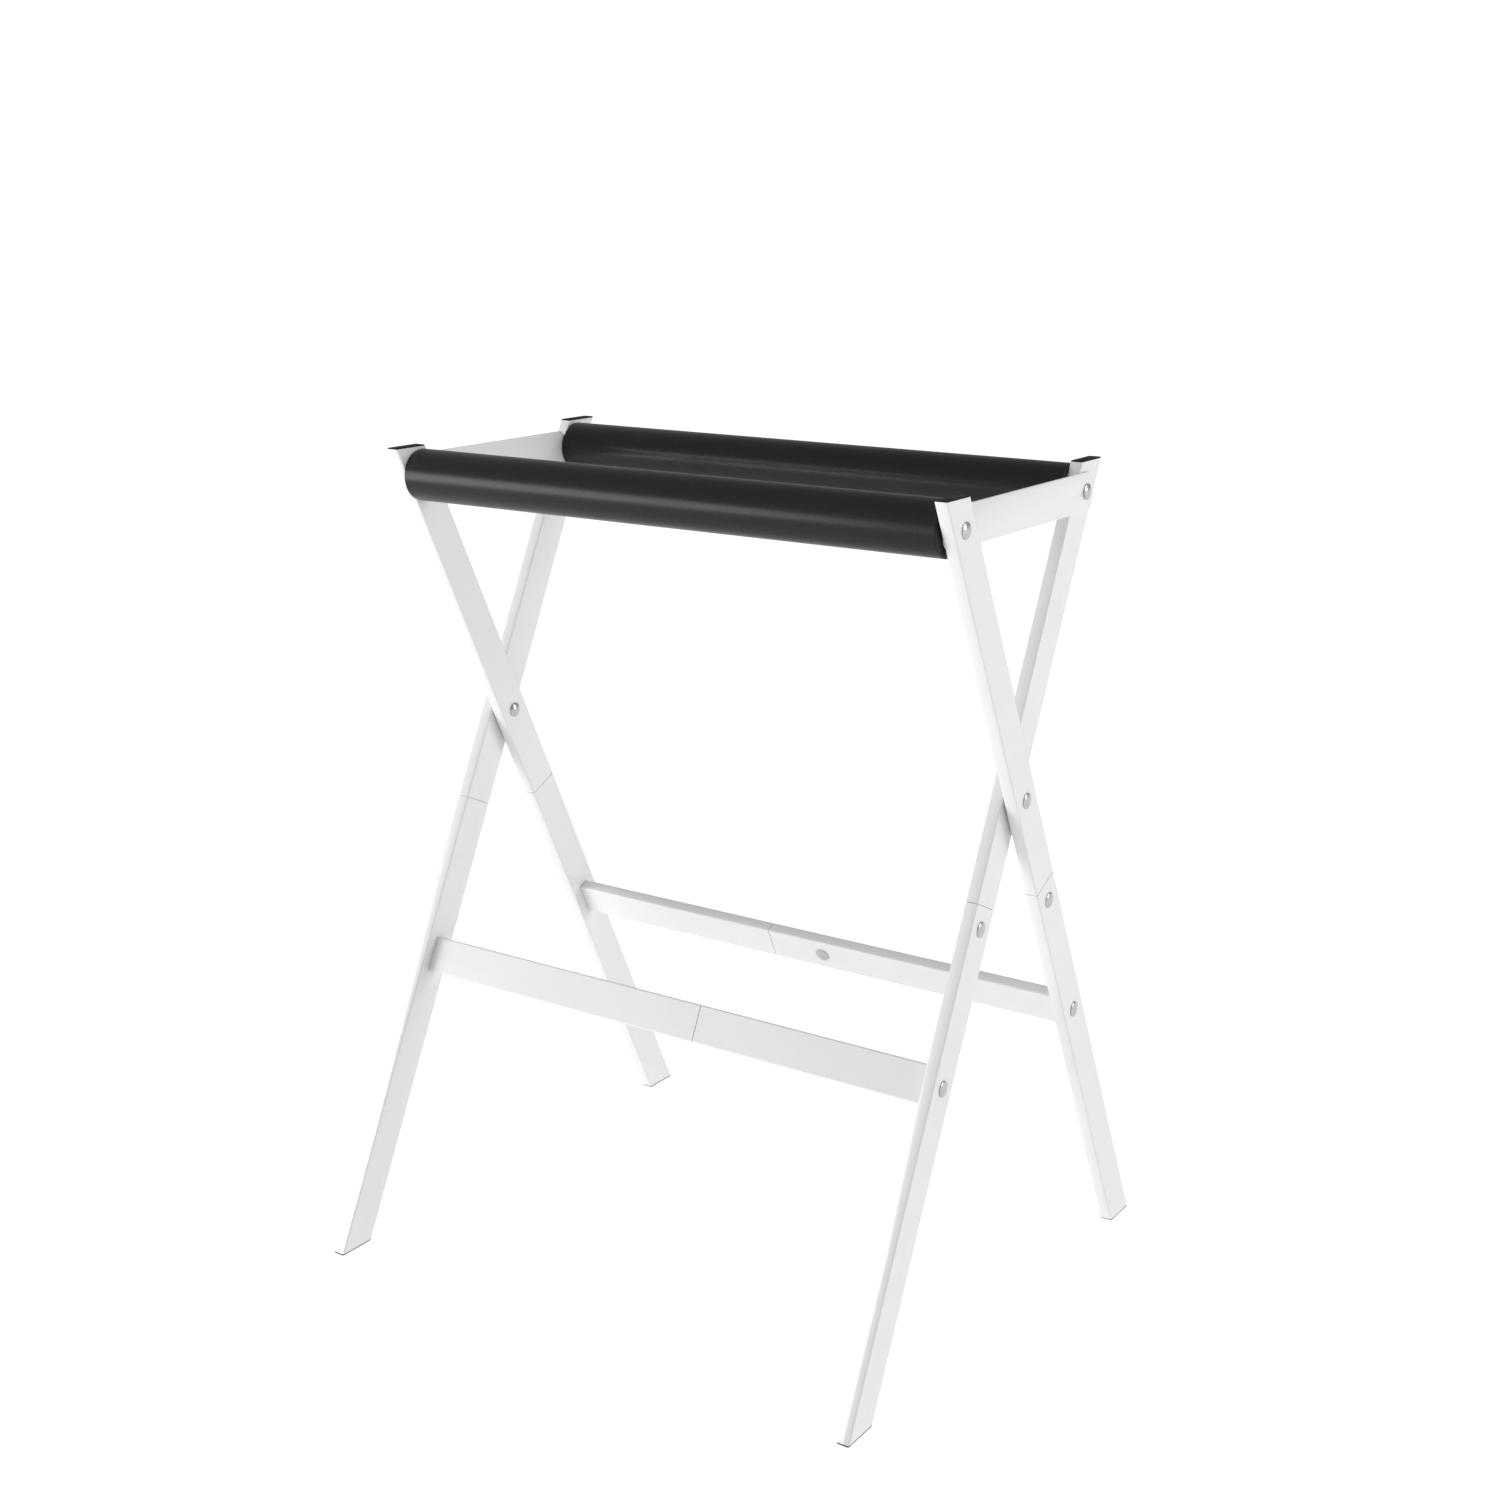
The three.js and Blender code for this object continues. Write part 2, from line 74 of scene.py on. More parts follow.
MM = 0.001
ALONG = Vector((1, 0, 0))
UP = Vector((0, 0, 1))
TOUCHING = 0.01 * MM
PARALLEL = 0.999
FACING = 0.99
COPLANAR_DEGREES = 1


class Mode(Enum):
    """What an edit-mode step selects."""

    EDGES = (False, True, False)
    FACES = (False, False, True)


class Slot(Enum):
    """The record's material slots."""

    WHITE_PAINT = "white_paint"
    BLACK_FOAM = "black_foam"
    BLACK_PLASTIC = "black_plastic"
    GREY_PLASTIC = "grey_plastic"
    ZINC_STEEL = "zinc_steel"


# ---------------------------------------------------------------- modelling by hand


def runs_along(a: Vector, b: Vector, axis: Vector) -> bool:
    """Whether the edge between two points is parallel to an axis."""
    return abs((b - a).normalized().dot(axis)) > PARALLEL


class Workpiece:
    """One mesh object on the bench, shaped by operators in edit mode."""

    def __init__(self, name: str) -> None:
        """Takes the object that is active on the bench.

        Args:
            name: The object's name.
        """
        self.thing = bpy.context.active_object
        self.thing.name = name
        self.thing.data.name = name
        bpy.ops.object.transform_apply(location=True, rotation=True, scale=True)

    @classmethod
    def block(cls, name: str, low: Vector, high: Vector) -> "Workpiece":
        """Starts from a block.

        Args:
            name: The object's name.
            low: The lowest corner.
            high: The highest corner.

        Returns:
            The block on the bench.
        """
        bpy.ops.object.select_all(action="DESELECT")
        bpy.ops.mesh.primitive_cube_add(size=1, location=(low + high) / 2, scale=high - low)
        return cls(name)

    @classmethod
    def rod(cls, name: str, radius: float, low: float, high: float, sides: int) -> "Workpiece":
        """Starts from a rod along Z.

        Args:
            name: The object's name.
            radius: The rod's radius.
            low: The height of its lower end.
            high: The height of its upper end.
            sides: The number of its flat sides.

        Returns:
            The rod on the bench.
        """
        bpy.ops.object.select_all(action="DESELECT")
        middle = (0, 0, (low + high) / 2)
        depth = high - low
        bpy.ops.mesh.primitive_cylinder_add(vertices=sides, radius=radius, depth=depth, location=middle)
        return cls(name)

    @classmethod
    def copy_of(cls, name: str, node: str) -> "Workpiece":
        """Starts from a copy of a CAD node, with its triangles joined into whole flat faces.

        Args:
            name: The object's name.
            node: The CAD node.

        Returns:
            The copy on the bench.
        """
        bpy.ops.object.select_all(action="DESELECT")
        copy = bpy.data.objects.new(name, frame["nodes"][node].data.copy())
        bpy.context.scene.collection.objects.link(copy)
        bpy.context.view_layer.objects.active = copy
        copy.select_set(True)
        copy.data.materials.clear()
        piece = cls(name)
        piece.pick(Mode.FACES, lambda *_: True)
        bpy.ops.mesh.remove_doubles(threshold=TOUCHING)
        bpy.ops.mesh.dissolve_limited(angle_limit=math.radians(COPLANAR_DEGREES))
        return piece

    def pick(self, mode: Mode, test: Callable[..., bool]) -> None:
        """Selects faces or edges in edit mode and nothing else.

        Args:
            mode: Faces or edges.
            test: Gets a face's centre and normal, or an edge's two ends, and says whether it is wanted.
        """
        self.activate()
        mesh = self.thing.data
        for item in (*mesh.vertices, *mesh.edges, *mesh.polygons):
            item.select = False
        if mode is Mode.FACES:
            for face in mesh.polygons:
                face.select = test(face.center, face.normal)
        else:
            for edge in mesh.edges:
                edge.select = test(*(mesh.vertices[i].co for i in edge.vertices))
        bpy.context.tool_settings.mesh_select_mode = mode.value
        bpy.ops.object.mode_set(mode="EDIT")

    def activate(self) -> None:
        """Makes this the one selected object, in object mode."""
        if bpy.context.mode != "OBJECT":
            bpy.ops.object.mode_set(mode="OBJECT")
        bpy.ops.object.select_all(action="DESELECT")
        bpy.context.view_layer.objects.active = self.thing
        self.thing.select_set(True)

    def pick_sides(self, *ways: Vector) -> None:
        """Selects the faces that look any of some ways."""
        self.pick(Mode.FACES, lambda _, normal: any(normal.dot(way) > FACING for way in ways))

    def round_along(self, axis: Vector, radius: float, segments: int) -> None:
        """Rounds the long edges that run along an axis.

        Args:
            axis: The way the edges run.
            radius: The radius of the round.
            segments: The number of strips across it.
        """
        self.pick(Mode.EDGES, lambda a, b: runs_along(a, b, axis))
        bpy.ops.mesh.bevel(offset=radius, segments=segments, affect="EDGES")

    def crease(self, axis: Vector, thin: int) -> None:
        """Keeps the wide faces flat in shading, by sharp edges between them and the rounds.

        Args:
            axis: The way the piece runs.
            thin: The index of the axis across the piece's thickness.
        """
        places = [vertex.co[thin] for vertex in self.thing.data.vertices]
        faces = (min(places), max(places))

        def on_wide_face(a: Vector, b: Vector) -> bool:
            """Whether an edge lies along the piece on one of its wide faces."""
            return runs_along(a, b, axis) and any(abs(a[thin] - face) < TOUCHING for face in faces)

        self.pick(Mode.EDGES, on_wide_face)
        bpy.ops.mesh.mark_sharp()

    def crease_ends(self, axis: Vector) -> None:
        """Marks every edge that doesn't run along an axis as sharp."""
        self.pick(Mode.EDGES, lambda a, b: not runs_along(a, b, axis))
        bpy.ops.mesh.mark_sharp()

    def saw(self, point: Vector, normal: Vector) -> None:
        """Cuts off what lies on the normal's side of a plane, and closes the cut."""
        self.pick(Mode.FACES, lambda *_: True)
        bpy.ops.mesh.bisect(plane_co=point, plane_no=normal, use_fill=True, clear_outer=True)

    def inset(self, thickness: float, depth: float = 0) -> None:
        """Insets the selected faces, and raises them when a depth is given."""
        bpy.ops.mesh.inset(thickness=thickness, depth=depth)

    def pull(self, by: Vector) -> None:
        """Extrudes the selected faces."""
        bpy.ops.mesh.extrude_region_move(TRANSFORM_OT_translate={"value": by})

    def bore_through(self, ends: Sequence[Vector], wall: float) -> None:
        """Makes the piece hollow from end to end.

        Args:
            ends: The ways that its two end faces look.
            wall: The thickness of the wall that stays.
        """
        self.pick_sides(*ends)
        self.inset(wall)
        bpy.ops.mesh.delete(type="ONLY_FACE")
        bpy.context.tool_settings.mesh_select_mode = Mode.EDGES.value
        bpy.ops.mesh.select_non_manifold(extend=False, use_wire=False, use_multi_face=False)
        bpy.ops.mesh.bridge_edge_loops()

    def ease(self, width: float, segments: int = 2, least_degrees: float = 34) -> None:
        """Breaks the sharp edges with a narrow bevel.

        Args:
            width: The width of the bevel.
            segments: The number of strips across it.
            least_degrees: The least angle between two faces whose edge counts as sharp.
        """
        self.activate()
        bevel = self.thing.modifiers.new("eased_edges", "BEVEL")
        bevel.width = width
        bevel.segments = segments
        bevel.limit_method = "ANGLE"
        bevel.angle_limit = math.radians(least_degrees)
        bevel.harden_normals = False
        bpy.ops.object.modifier_apply(modifier=bevel.name)

    def finish(self, smooth_degrees: float = 32) -> bpy.types.Object:
        """Recalculates normals and smooths the round stretches.

        Args:
            smooth_degrees: The largest angle between two faces that is shaded smooth.

        Returns:
            The finished object.
        """
        self.pick(Mode.FACES, lambda *_: True)
        bpy.ops.mesh.normals_make_consistent(inside=False)
        self.activate()
        bpy.ops.object.shade_smooth_by_angle(angle=math.radians(smooth_degrees), keep_sharp_edges=True)
        return self.thing


# ---------------------------------------------------------------- finishes


class Graph:
    """A material's node tree, with short ways to add the nodes that the finishes share."""

    MIDDLE_STRETCH = (0.3, 0.7)

    def __init__(self, name: str) -> None:
        """Starts a material with its principled shader and object coordinates.

        Args:
            name: The material's name.
        """
        self.material = bpy.data.materials.new(name)
        self.material.use_nodes = True
        self.tree = self.material.node_tree
        self.shader = self.tree.nodes["Principled BSDF"]
        self.place = self.tree.nodes.new("ShaderNodeTexCoord").outputs["Object"]

    def link(self, output: bpy.types.NodeSocket, socket: bpy.types.NodeSocket) -> None:
        """Joins two sockets."""
        self.tree.links.new(output, socket)

    def noise(
        self, scale: float, detail: float = 2, stretch: Sequence[float] | None = None
    ) -> bpy.types.NodeSocket:
        """A noise pattern.

        Args:
            scale: Its features in a metre.
            detail: Its octaves.
            stretch: A factor for each axis, for grain that runs one way.

        Returns:
            The factor from 0 to 1.
        """
        node = self.tree.nodes.new("ShaderNodeTexNoise")
        node.inputs["Scale"].default_value = scale
        node.inputs["Detail"].default_value = detail
        source = self.place
        if stretch is not None:
            mapping = self.tree.nodes.new("ShaderNodeMapping")
            mapping.inputs["Scale"].default_value = stretch
            self.link(self.place, mapping.inputs["Vector"])
            source = mapping.outputs["Vector"]
        self.link(source, node.inputs["Vector"])
        return node.outputs["Fac"]

    def cells(self, scale: float) -> bpy.types.NodeSocket:
        """A pattern of small cells.

        Args:
            scale: The cells in a metre.

        Returns:
            The distance from each cell's middle.
        """
        node = self.tree.nodes.new("ShaderNodeTexVoronoi")
        node.inputs["Scale"].default_value = scale
        self.link(self.place, node.inputs["Vector"])
        return node.outputs["Distance"]

    def spread(self, factor: bpy.types.NodeSocket, low: float, high: float) -> bpy.types.NodeSocket:
        """Turns a pattern's middle stretch into values between two limits.

        Args:
            factor: The pattern.
            low: The value at the stretch's lower end.
            high: The value at its upper end.

        Returns:
            The values.
        """
        node = self.tree.nodes.new("ShaderNodeMapRange")
        node.inputs["From Min"].default_value, node.inputs["From Max"].default_value = self.MIDDLE_STRETCH
        node.inputs["To Min"].default_value = low
        node.inputs["To Max"].default_value = high
        self.link(factor, node.inputs["Value"])
        return node.outputs["Result"]

    def colour(
        self, pattern: bpy.types.NodeSocket, first: Sequence[float], second: Sequence[float]
    ) -> None:
        """Gives the shader a colour that wanders between two colours.

        Args:
            pattern: The pattern that it follows.
            first: The colour where the pattern is low.
            second: The colour where it is high.
        """
        node = self.tree.nodes.new("ShaderNodeMix")
        node.data_type = "RGBA"
        sockets = {socket.identifier: socket for socket in node.inputs}
        sockets["A_Color"].default_value = (*first, 1)
        sockets["B_Color"].default_value = (*second, 1)
        self.link(self.spread(pattern, 0, 1), sockets["Factor_Float"])
        result = {socket.identifier: socket for socket in node.outputs}["Result_Color"]
        self.link(result, self.shader.inputs["Base Color"])

    def roughen(self, pattern: bpy.types.NodeSocket, limits: tuple[float, float]) -> None:
        """Gives the shader a roughness that wanders between two limits."""
        self.link(self.spread(pattern, *limits), self.shader.inputs["Roughness"])

    def emboss(self, heights: Iterable[tuple[bpy.types.NodeSocket, float, float]]) -> None:
        """Gives the shader a bumpy surface.

        Args:
            heights: For each layer its pattern, its strength from 0 to 1 and its height in metres.
        """
        below = None
        for pattern, strength, height in heights:
            bump = self.tree.nodes.new("ShaderNodeBump")
            bump.inputs["Strength"].default_value = strength
            bump.inputs["Distance"].default_value = height
            self.link(pattern, bump.inputs["Height"])
            if below is not None:
                self.link(below, bump.inputs["Normal"])
            below = bump.outputs["Normal"]
        self.link(below, self.shader.inputs["Normal"])

    def set(self, **values: float) -> None:
        """Sets constants on the shader's own sockets, an underscore in a name standing for a space."""
        for name, value in values.items():
            self.shader.inputs[name.replace("_", " ")].default_value = value


@dataclass(frozen=True)
class PowderCoat:
    """Smooth white powder coat on steel tube, with a faint orange peel."""

    light: tuple[float, float, float] = (0.872, 0.874, 0.876)
    dark: tuple[float, float, float] = (0.842, 0.845, 0.848)
    roughness: tuple[float, float] = (0.3, 0.38)
    cloud_scale: float = 7
    smudge_scale: float = 38
    peel_scale: float = 620
    peel_strength: float = 0.35
    peel_height: float = 0.05 * MM
    coat: float = 0.9
    coat_roughness: float = 0.09
    coat_index: float = 1.5
    specular: float = 0.3

    def material(self) -> bpy.types.Material:
        """Builds the material.

        Returns:
            The material.
        """
        graph = Graph("white_powder_coat")
        graph.colour(graph.noise(self.cloud_scale), self.dark, self.light)
        graph.roughen(graph.noise(self.smudge_scale, 4), self.roughness)
        graph.emboss([(graph.noise(self.peel_scale, 3), self.peel_strength, self.peel_height)])
        graph.set(Coat_Weight=self.coat, Coat_Roughness=self.coat_roughness, Coat_IOR=self.coat_index)
        graph.set(Specular_IOR_Level=self.specular)
        return graph.material


@dataclass(frozen=True)
class SkinnedFoam:
    """Black closed-cell foam with a satin skin: fine pores, and slow waves along the cover."""

    light: tuple[float, float, float] = (0.021, 0.021, 0.0214)
    dark: tuple[float, float, float] = (0.016, 0.016, 0.0163)
    roughness: tuple[float, float] = (0.26, 0.31)
    patch_scale: float = 66
    pore_scale: float = 1500
    pore_strength: float = 0.15
    pore_height: float = 0.08 * MM
    grain_scale: float = 420
    grain_strength: float = 0.2
    grain_height: float = 0.1 * MM
    wave_scale: float = 22
    wave_stretch: tuple[float, float, float] = (0.25, 1, 1)
    wave_strength: float = 0.12
    wave_height: float = 0.8 * MM
    specular: float = 0.19

    def material(self) -> bpy.types.Material:
        """Builds the material.

        Returns:
            The material.
        """
        graph = Graph("black_skinned_foam")
        graph.colour(graph.noise(self.grain_scale, 3), self.dark, self.light)
        graph.roughen(graph.noise(self.patch_scale, 3), self.roughness)
        pores = (graph.cells(self.pore_scale), self.pore_strength, self.pore_height)
        grain = (graph.noise(self.grain_scale, 4), self.grain_strength, self.grain_height)
        stretched = graph.noise(self.wave_scale, 1, self.wave_stretch)
        waves = (stretched, self.wave_strength, self.wave_height)
        graph.emboss([waves, grain, pores])
        graph.set(Specular_IOR_Level=self.specular)
        return graph.material


@dataclass(frozen=True)
class MouldedPlastic:
    """Moulded cap plastic with a fine spark-eroded grain."""

    name: str
    light: tuple[float, float, float]
    dark: tuple[float, float, float]
    roughness: tuple[float, float] = (0.55, 0.65)
    cloud_scale: float = 60
    patch_scale: float = 180
    grain_scale: float = 1100
    grain_strength: float = 0.3
    grain_height: float = 0.06 * MM
    specular: float = 0.15

    def material(self) -> bpy.types.Material:
        """Builds the material.

        Returns:
            The material.
        """
        graph = Graph(self.name)
        graph.colour(graph.noise(self.cloud_scale, 3), self.dark, self.light)
        graph.roughen(graph.noise(self.patch_scale), self.roughness)
        graph.emboss([(graph.noise(self.grain_scale), self.grain_strength, self.grain_height)])
        graph.set(Specular_IOR_Level=self.specular)
        return graph.material


@dataclass(frozen=True)
class BrightZinc:
    """Bright zinc plate on steel fittings, faintly cloudy."""

    light: tuple[float, float, float] = (0.6, 0.603, 0.61)
    dark: tuple[float, float, float] = (0.5, 0.505, 0.51)
    roughness: tuple[float, float] = (0.16, 0.26)
    cloud_scale: float = 170
    patch_scale: float = 420
    grain_scale: float = 1600
    grain_strength: float = 0.15
    grain_height: float = 0.02 * MM

    def material(self) -> bpy.types.Material:
        """Builds the material.

        Returns:
            The material.
        """
        graph = Graph("bright_zinc")
        graph.colour(graph.noise(self.cloud_scale, 4), self.dark, self.light)
        graph.roughen(graph.noise(self.patch_scale, 3), self.roughness)
        graph.emboss([(graph.noise(self.grain_scale), self.grain_strength, self.grain_height)])
        graph.set(Metallic=1)
        return graph.material


def make_finishes() -> dict[Slot, bpy.types.Material]:
    """Builds one material for each slot of the record.

    Returns:
        The materials by slot.
    """
    black = MouldedPlastic("black_cap_plastic", (0.013, 0.013, 0.0135), (0.008, 0.008, 0.0085))
    grey = MouldedPlastic("grey_foot_plastic", (0.1, 0.102, 0.105), (0.07, 0.072, 0.075))
    return {
        Slot.WHITE_PAINT: PowderCoat().material(),
        Slot.BLACK_FOAM: SkinnedFoam().material(),
        Slot.BLACK_PLASTIC: black.material(),
        Slot.GREY_PLASTIC: grey.material(),
        Slot.ZINC_STEEL: BrightZinc().material(),
    }


# ---------------------------------------------------------------- the leaning frames


@dataclass(frozen=True)
class LeaningAxes:
    """Frame A's own axes: X along the rails, Z up along the legs, the crossing bolt at the origin."""

    crossing: Vector
    rail_pivot: Vector

    @classmethod
    def from_joints(cls, joints: Sequence[dict]) -> "LeaningAxes":
        """Reads the crossing and a rail's end from the record's joints."""
        at = {joint["name"]: Vector(joint["pos_m"]) for joint in joints}
        return cls(at["fold"], at["bar_left_swing"])

    @property
    def lean(self) -> float:
        """The angle of the legs from the vertical."""
        return math.atan2(-self.rail_pivot.y, self.rail_pivot.z - self.crossing.z)

    @property
    def to_world(self) -> Matrix:
        """From frame A's own axes to the whole stand's."""
        return Matrix.Translation((0, 0, self.crossing.z)) @ Matrix.Rotation(self.lean, 4, "X")

    @property
    def level(self) -> Vector:
        """Straight up, in frame A's own axes."""
        return Vector((0, math.sin(self.lean), math.cos(self.lean)))

    def span(self, node: str) -> tuple[Vector, Vector]:
        """Measures one of frame A's nodes in the frame's own axes.

        Args:
            node: The node.

        Returns:
            Its lowest and highest corners.
        """
        back = self.to_world.inverted()
        places = [back @ vertex.co for vertex in frame["nodes"][node].data.vertices]
        low = Vector([min(place[i] for place in places) for i in range(3)])
        high = Vector([max(place[i] for place in places) for i in range(3)])
        return low, high

    def at_height(self, height: float) -> Vector:
        """A point at a height above the floor, in frame A's own axes."""
        return self.to_world.inverted() @ Vector((0, 0, height))


@dataclass(frozen=True)
class Stance:
    """How one of the two equal frames stands, and what its nodes and bodies are called."""

    letter: str
    outer: str
    inner: str
    turn: Matrix

    def name(self, pattern: str) -> str:
        """Fills in a node's or body's name."""
        return pattern.format(letter=self.letter, outer=self.outer, inner=self.inner)


STANCES = (
    Stance("a", "right", "left", Matrix.Identity(4)),
    Stance("b", "left", "right", Matrix.Rotation(math.pi, 4, "Z")),
)
FRAME_BODY = "frame_{letter}"


@dataclass
class Assembler:
    """Sets each modelled piece into both frames, dressed and riding on its body."""

    axes: LeaningAxes
    finishes: dict[Slot, bpy.types.Material]

    def fit(
        self,
        master: bpy.types.Object,
        pattern: str,
        slot: Slot,
        place: Matrix | None = None,
        body: str = FRAME_BODY,
    ) -> list[bpy.types.Object]:
        """Copies a piece into frame A and frame B in place of their CAD nodes, and removes the master.

        Args:
            master: The modelled piece.
            pattern: The node's name, with {letter}, {outer} and {inner} for what differs.
            slot: The finish it gets.
            place: Where it goes, for frame A, from the master's axes to the stand's.
            body: The name of the body that it rides on.

        Returns:
            The two pieces.
        """
        place = self.axes.to_world if place is None else place
        pieces = []
        for stance in STANCES:
            node = stance.name(pattern)
            piece = master.copy()
            piece.data = master.data.copy()
            piece.name = piece.data.name = node + "_piece"
            bpy.context.scene.collection.objects.link(piece)
            piece.data.transform(stance.turn @ place)
            piece.data.materials.clear()
            piece.data.materials.append(self.finishes[slot])
            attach(piece, stance.name(body))
            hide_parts(node)
            pieces.append(piece)
        bpy.data.meshes.remove(master.data)
        return pieces


# ---------------------------------------------------------------- sub-assemblies


@dataclass(frozen=True)
class TubeForm:
    """The flat-sided tube of legs and stretchers: its corners, its wall and its sawn ends."""

    corner: float = 1.5 * MM
    wall: float = 1.2 * MM
    eased: float = 0.2 * MM
    corner_segments: int = 2
    end_degrees: float = 55

    def blank(self, node: str, span: tuple[Vector, Vector], axis: Vector, thin: int) -> Workpiece:
        """A solid bar as large as a node, with rounded long edges.

        Args:
            node: The node, which gives the piece its name.
            span: The lowest and highest corner.
            axis: The way the tube runs.
            thin: The index of the axis across its thickness.

        Returns:
            The bar on the bench.
        """
        piece = Workpiece.block(node, *span)
        piece.round_along(axis, self.corner, self.corner_segments)
        piece.crease(axis, thin)
        return piece

    def hollow(self, piece: Workpiece, axis: Vector, ends: Sequence[Vector]) -> bpy.types.Object:
        """Makes a sawn bar into a tube.

        Args:
            piece: The bar.
            axis: The way it runs.
            ends: The ways that its two ends look.

        Returns:
            The finished tube.
        """
        piece.bore_through(ends, self.wall)
        piece.ease(self.eased, 2, self.end_degrees)
        piece.crease_ends(axis)
        return piece.finish(self.end_degrees)


@dataclass
class Legs:
    """The four legs: each an upper and a lower tube that meet at a seam, with a cap at each end."""

    assembler: Assembler
    tube: TubeForm
    plug_gap: float = 0.3 * MM
    plug_share: float = 0.8
    cap_eased: float = 0.25 * MM

    def build(self) -> list[bpy.types.Object]:
        """Builds the legs of both frames.

        Returns:
            The finished pieces.
        """
        pieces = []
        for side, real in (("outer", "right"), ("inner", "left")):
            makers = {
                "upper_leg": (self.upper, Slot.WHITE_PAINT),
                "lower_leg": (self.lower, Slot.WHITE_PAINT),
                "top_cap": (self.top_cap, Slot.BLACK_PLASTIC),
                "foot_cap": (self.foot_cap, Slot.GREY_PLASTIC),
            }
            for what, (maker, slot) in makers.items():
                pieces += self.assembler.fit(maker(real), "{letter}_" + what + "_{" + side + "}", slot)
        return pieces

    def blank(self, node: str) -> Workpiece:
        """A solid bar along Z as large as a node."""
        return self.tube.blank(node, self.assembler.axes.span(node), UP, 0)

    def upper(self, side: str) -> bpy.types.Object:
        """The upper tube, square at its seam and level at its top.

        Args:
            side: The side of frame A that it is on.

        Returns:
            The finished tube.
        """
        axes = self.assembler.axes
        node = f"a_upper_leg_{side}"
        piece = self.blank(node)
        piece.saw(axes.at_height(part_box(node)[1].z), axes.level)
        return self.tube.hollow(piece, UP, (axes.level, -UP))

    def lower(self, side: str) -> bpy.types.Object:
        """The lower tube, level at its foot and square at its seam.

        Args:
            side: The side of frame A that it is on.

        Returns:
            The finished tube.
        """
        axes = self.assembler.axes
        node = f"a_lower_leg_{side}"
        piece = self.blank(node)
        piece.saw(axes.at_height(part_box(node)[0].z), -axes.level)
        return self.tube.hollow(piece, UP, (-axes.level, UP))

    def cap(self, node: str, tube: str, up: bool) -> bpy.types.Object:
        """A cap: a plate that covers the tube's end, and a plug inside it.

        Args:
            node: The cap's CAD node.
            tube: The CAD node of the tube that it closes.
            up: Whether the plate looks up.

        Returns:
            The finished cap.
        """
        axes = self.assembler.axes
        outward = axes.level if up else -axes.level
        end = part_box(node)[1].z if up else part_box(node)[0].z
        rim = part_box(tube)[1].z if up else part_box(tube)[0].z
        gap = self.plug_gap if up else -self.plug_gap
        low, high = axes.span(node)
        plug_end = low.z if up else high.z
        piece = self.blank(node)
        piece.saw(axes.at_height(end), outward)
        piece.saw(axes.at_height(rim + gap), -outward)
        piece.ease(self.cap_eased, 3, self.tube.end_degrees)
        piece.pick_sides(-outward)
        piece.inset(self.tube.wall + self.plug_gap - self.cap_eased)
        reach = abs(plug_end - axes.at_height(rim).z)
        piece.pull(UP * (-reach if up else reach) * self.plug_share)
        return piece.finish()

    def top_cap(self, side: str) -> bpy.types.Object:
        """The flat black cap on a leg's top."""
        return self.cap(f"a_top_cap_{side}", f"a_upper_leg_{side}", up=True)

    def foot_cap(self, side: str) -> bpy.types.Object:
        """The thin grey cap under a leg."""
        return self.cap(f"a_foot_cap_{side}", f"a_lower_leg_{side}", up=False)


@dataclass
class Rails:
    """The foam covers of the two rails."""

    assembler: Assembler
    end_round: float = 1.5 * MM
    bore_gap: float = 0.3 * MM
    sides: int = 128
    round_segments: int = 6
    smooth_degrees: float = 40
    fill: float = 0.95

    def build(self) -> list[bpy.types.Object]:
        """Builds the covers.

        Returns:
            The two foam covers.
        """
        axes = self.assembler.axes
        low, high = axes.span("a_rail_foam")
        tube_low, tube_high = axes.span("a_rail_tube")
        radius = (high.y - low.y) / 2
        bore = (tube_high.y - tube_low.y) / 2 + self.bore_gap
        cover = Workpiece.rod("rail_foam", radius, low.x, high.x, self.sides)
        cover.pick(Mode.EDGES, lambda a, b: abs(a.z - b.z) < MM)
        bpy.ops.mesh.bevel(offset=self.end_round, segments=self.round_segments, affect="EDGES")
        cover.bore_through((UP, -UP), radius - self.end_round - bore)
        along_x = Matrix.Rotation(math.pi / 2, 4, "Y")
        rail = Matrix.Translation((0, 0, (low.z + high.z) / 2))
        place = axes.to_world @ rail @ along_x
        master = cover.finish(self.smooth_degrees)
        pieces = self.assembler.fit(master, "{letter}_rail_foam", Slot.BLACK_FOAM, place)
        return pieces


@dataclass
class Stretchers:
    """The two stretchers, each of a short and a long tube that meet at a seam."""

    assembler: Assembler
    tube: TubeForm

    def build(self) -> list[bpy.types.Object]:
        """Builds both halves for both frames.

        Returns:
            The finished tubes.
        """
        pieces = []
        for half in ("short", "long"):
            tube = self.half(f"a_stretcher_{half}")
            pieces += self.assembler.fit(tube, "{letter}_stretcher_" + half, Slot.WHITE_PAINT)
        return pieces

    def half(self, node: str) -> bpy.types.Object:
        """One half: a tube along X."""
        piece = self.tube.blank(node, self.assembler.axes.span(node), ALONG, 1)
        return self.tube.hollow(piece, ALONG, (ALONG, -ALONG))


